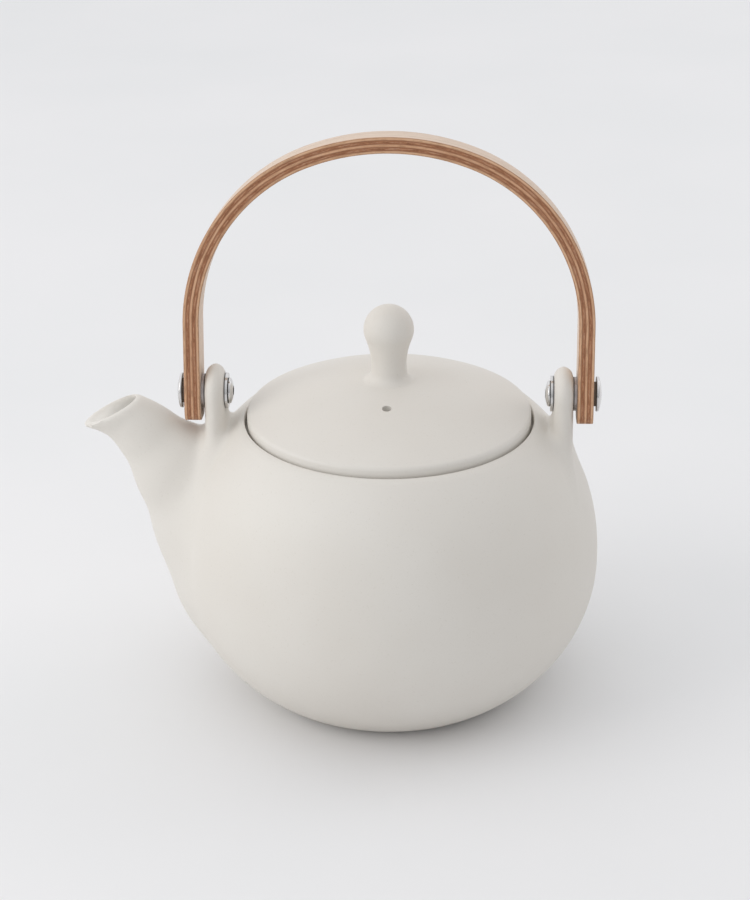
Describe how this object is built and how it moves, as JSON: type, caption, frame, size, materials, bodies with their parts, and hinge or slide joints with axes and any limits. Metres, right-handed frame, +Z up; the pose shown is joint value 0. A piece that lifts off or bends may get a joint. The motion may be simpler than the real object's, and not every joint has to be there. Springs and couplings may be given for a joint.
{
  "type": "teapot with bail handle",
  "caption": "Round matte stoneware teapot with a short spout, a domed lid with a pear-shaped knob, and a swinging bent-plywood bail handle on steel pins.",
  "frame": {"origin": "centre of the foot ring on the table", "axes": "+Z up, -X along the spout, the handle pivots about a line parallel to X, +Y is the back"},
  "size_m": [0.1684, 0.138, 0.1874],
  "materials": {
    "stoneware": "matte off-white, unglazed feel",
    "wood_face": "satin clear lacquer on pale veneer",
    "wood_cross": "cut end grain of the cross plies, darker",
    "wood_core": "cut long grain of the core ply",
    "fastener_steel": "polished stainless",
    "washer_steel": "satin stainless",
    "dark_washer": "matte black friction washer"
  },
  "bodies": {
    "pot": {"pot_body": "stoneware", "spout": "stoneware", "lug_left": "stoneware", "lug_right": "stoneware", "barrel_nut_left": "fastener_steel", "screw_left": "fastener_steel", "inner_washer_left": "washer_steel", "spacer_washer_left": "washer_steel", "friction_washer_left": "dark_washer", "barrel_nut_right": "fastener_steel", "screw_right": "fastener_steel", "inner_washer_right": "washer_steel", "spacer_washer_right": "washer_steel", "friction_washer_right": "dark_washer"},
    "lid": {"lid": "stoneware", "lid_knob": "stoneware"},
    "handle": {"handle_face_ply_outer": "wood_face", "handle_cross_ply_outer": "wood_cross", "handle_core_ply": "wood_core", "handle_cross_ply_inner": "wood_cross", "handle_face_ply_inner": "wood_face"}
  },
  "joints": [
    {"name": "lid_lift", "type": "slide", "parent": "pot", "child": "lid", "axis": [0, 0, 1], "range_m": [0, 0.04]},
    {"name": "handle_swing", "type": "hinge", "parent": "pot", "child": "handle", "pos_m": [0, 0, 0.1034], "axis": [1, 0, 0], "range_deg": [-101, 119]}
  ]
}
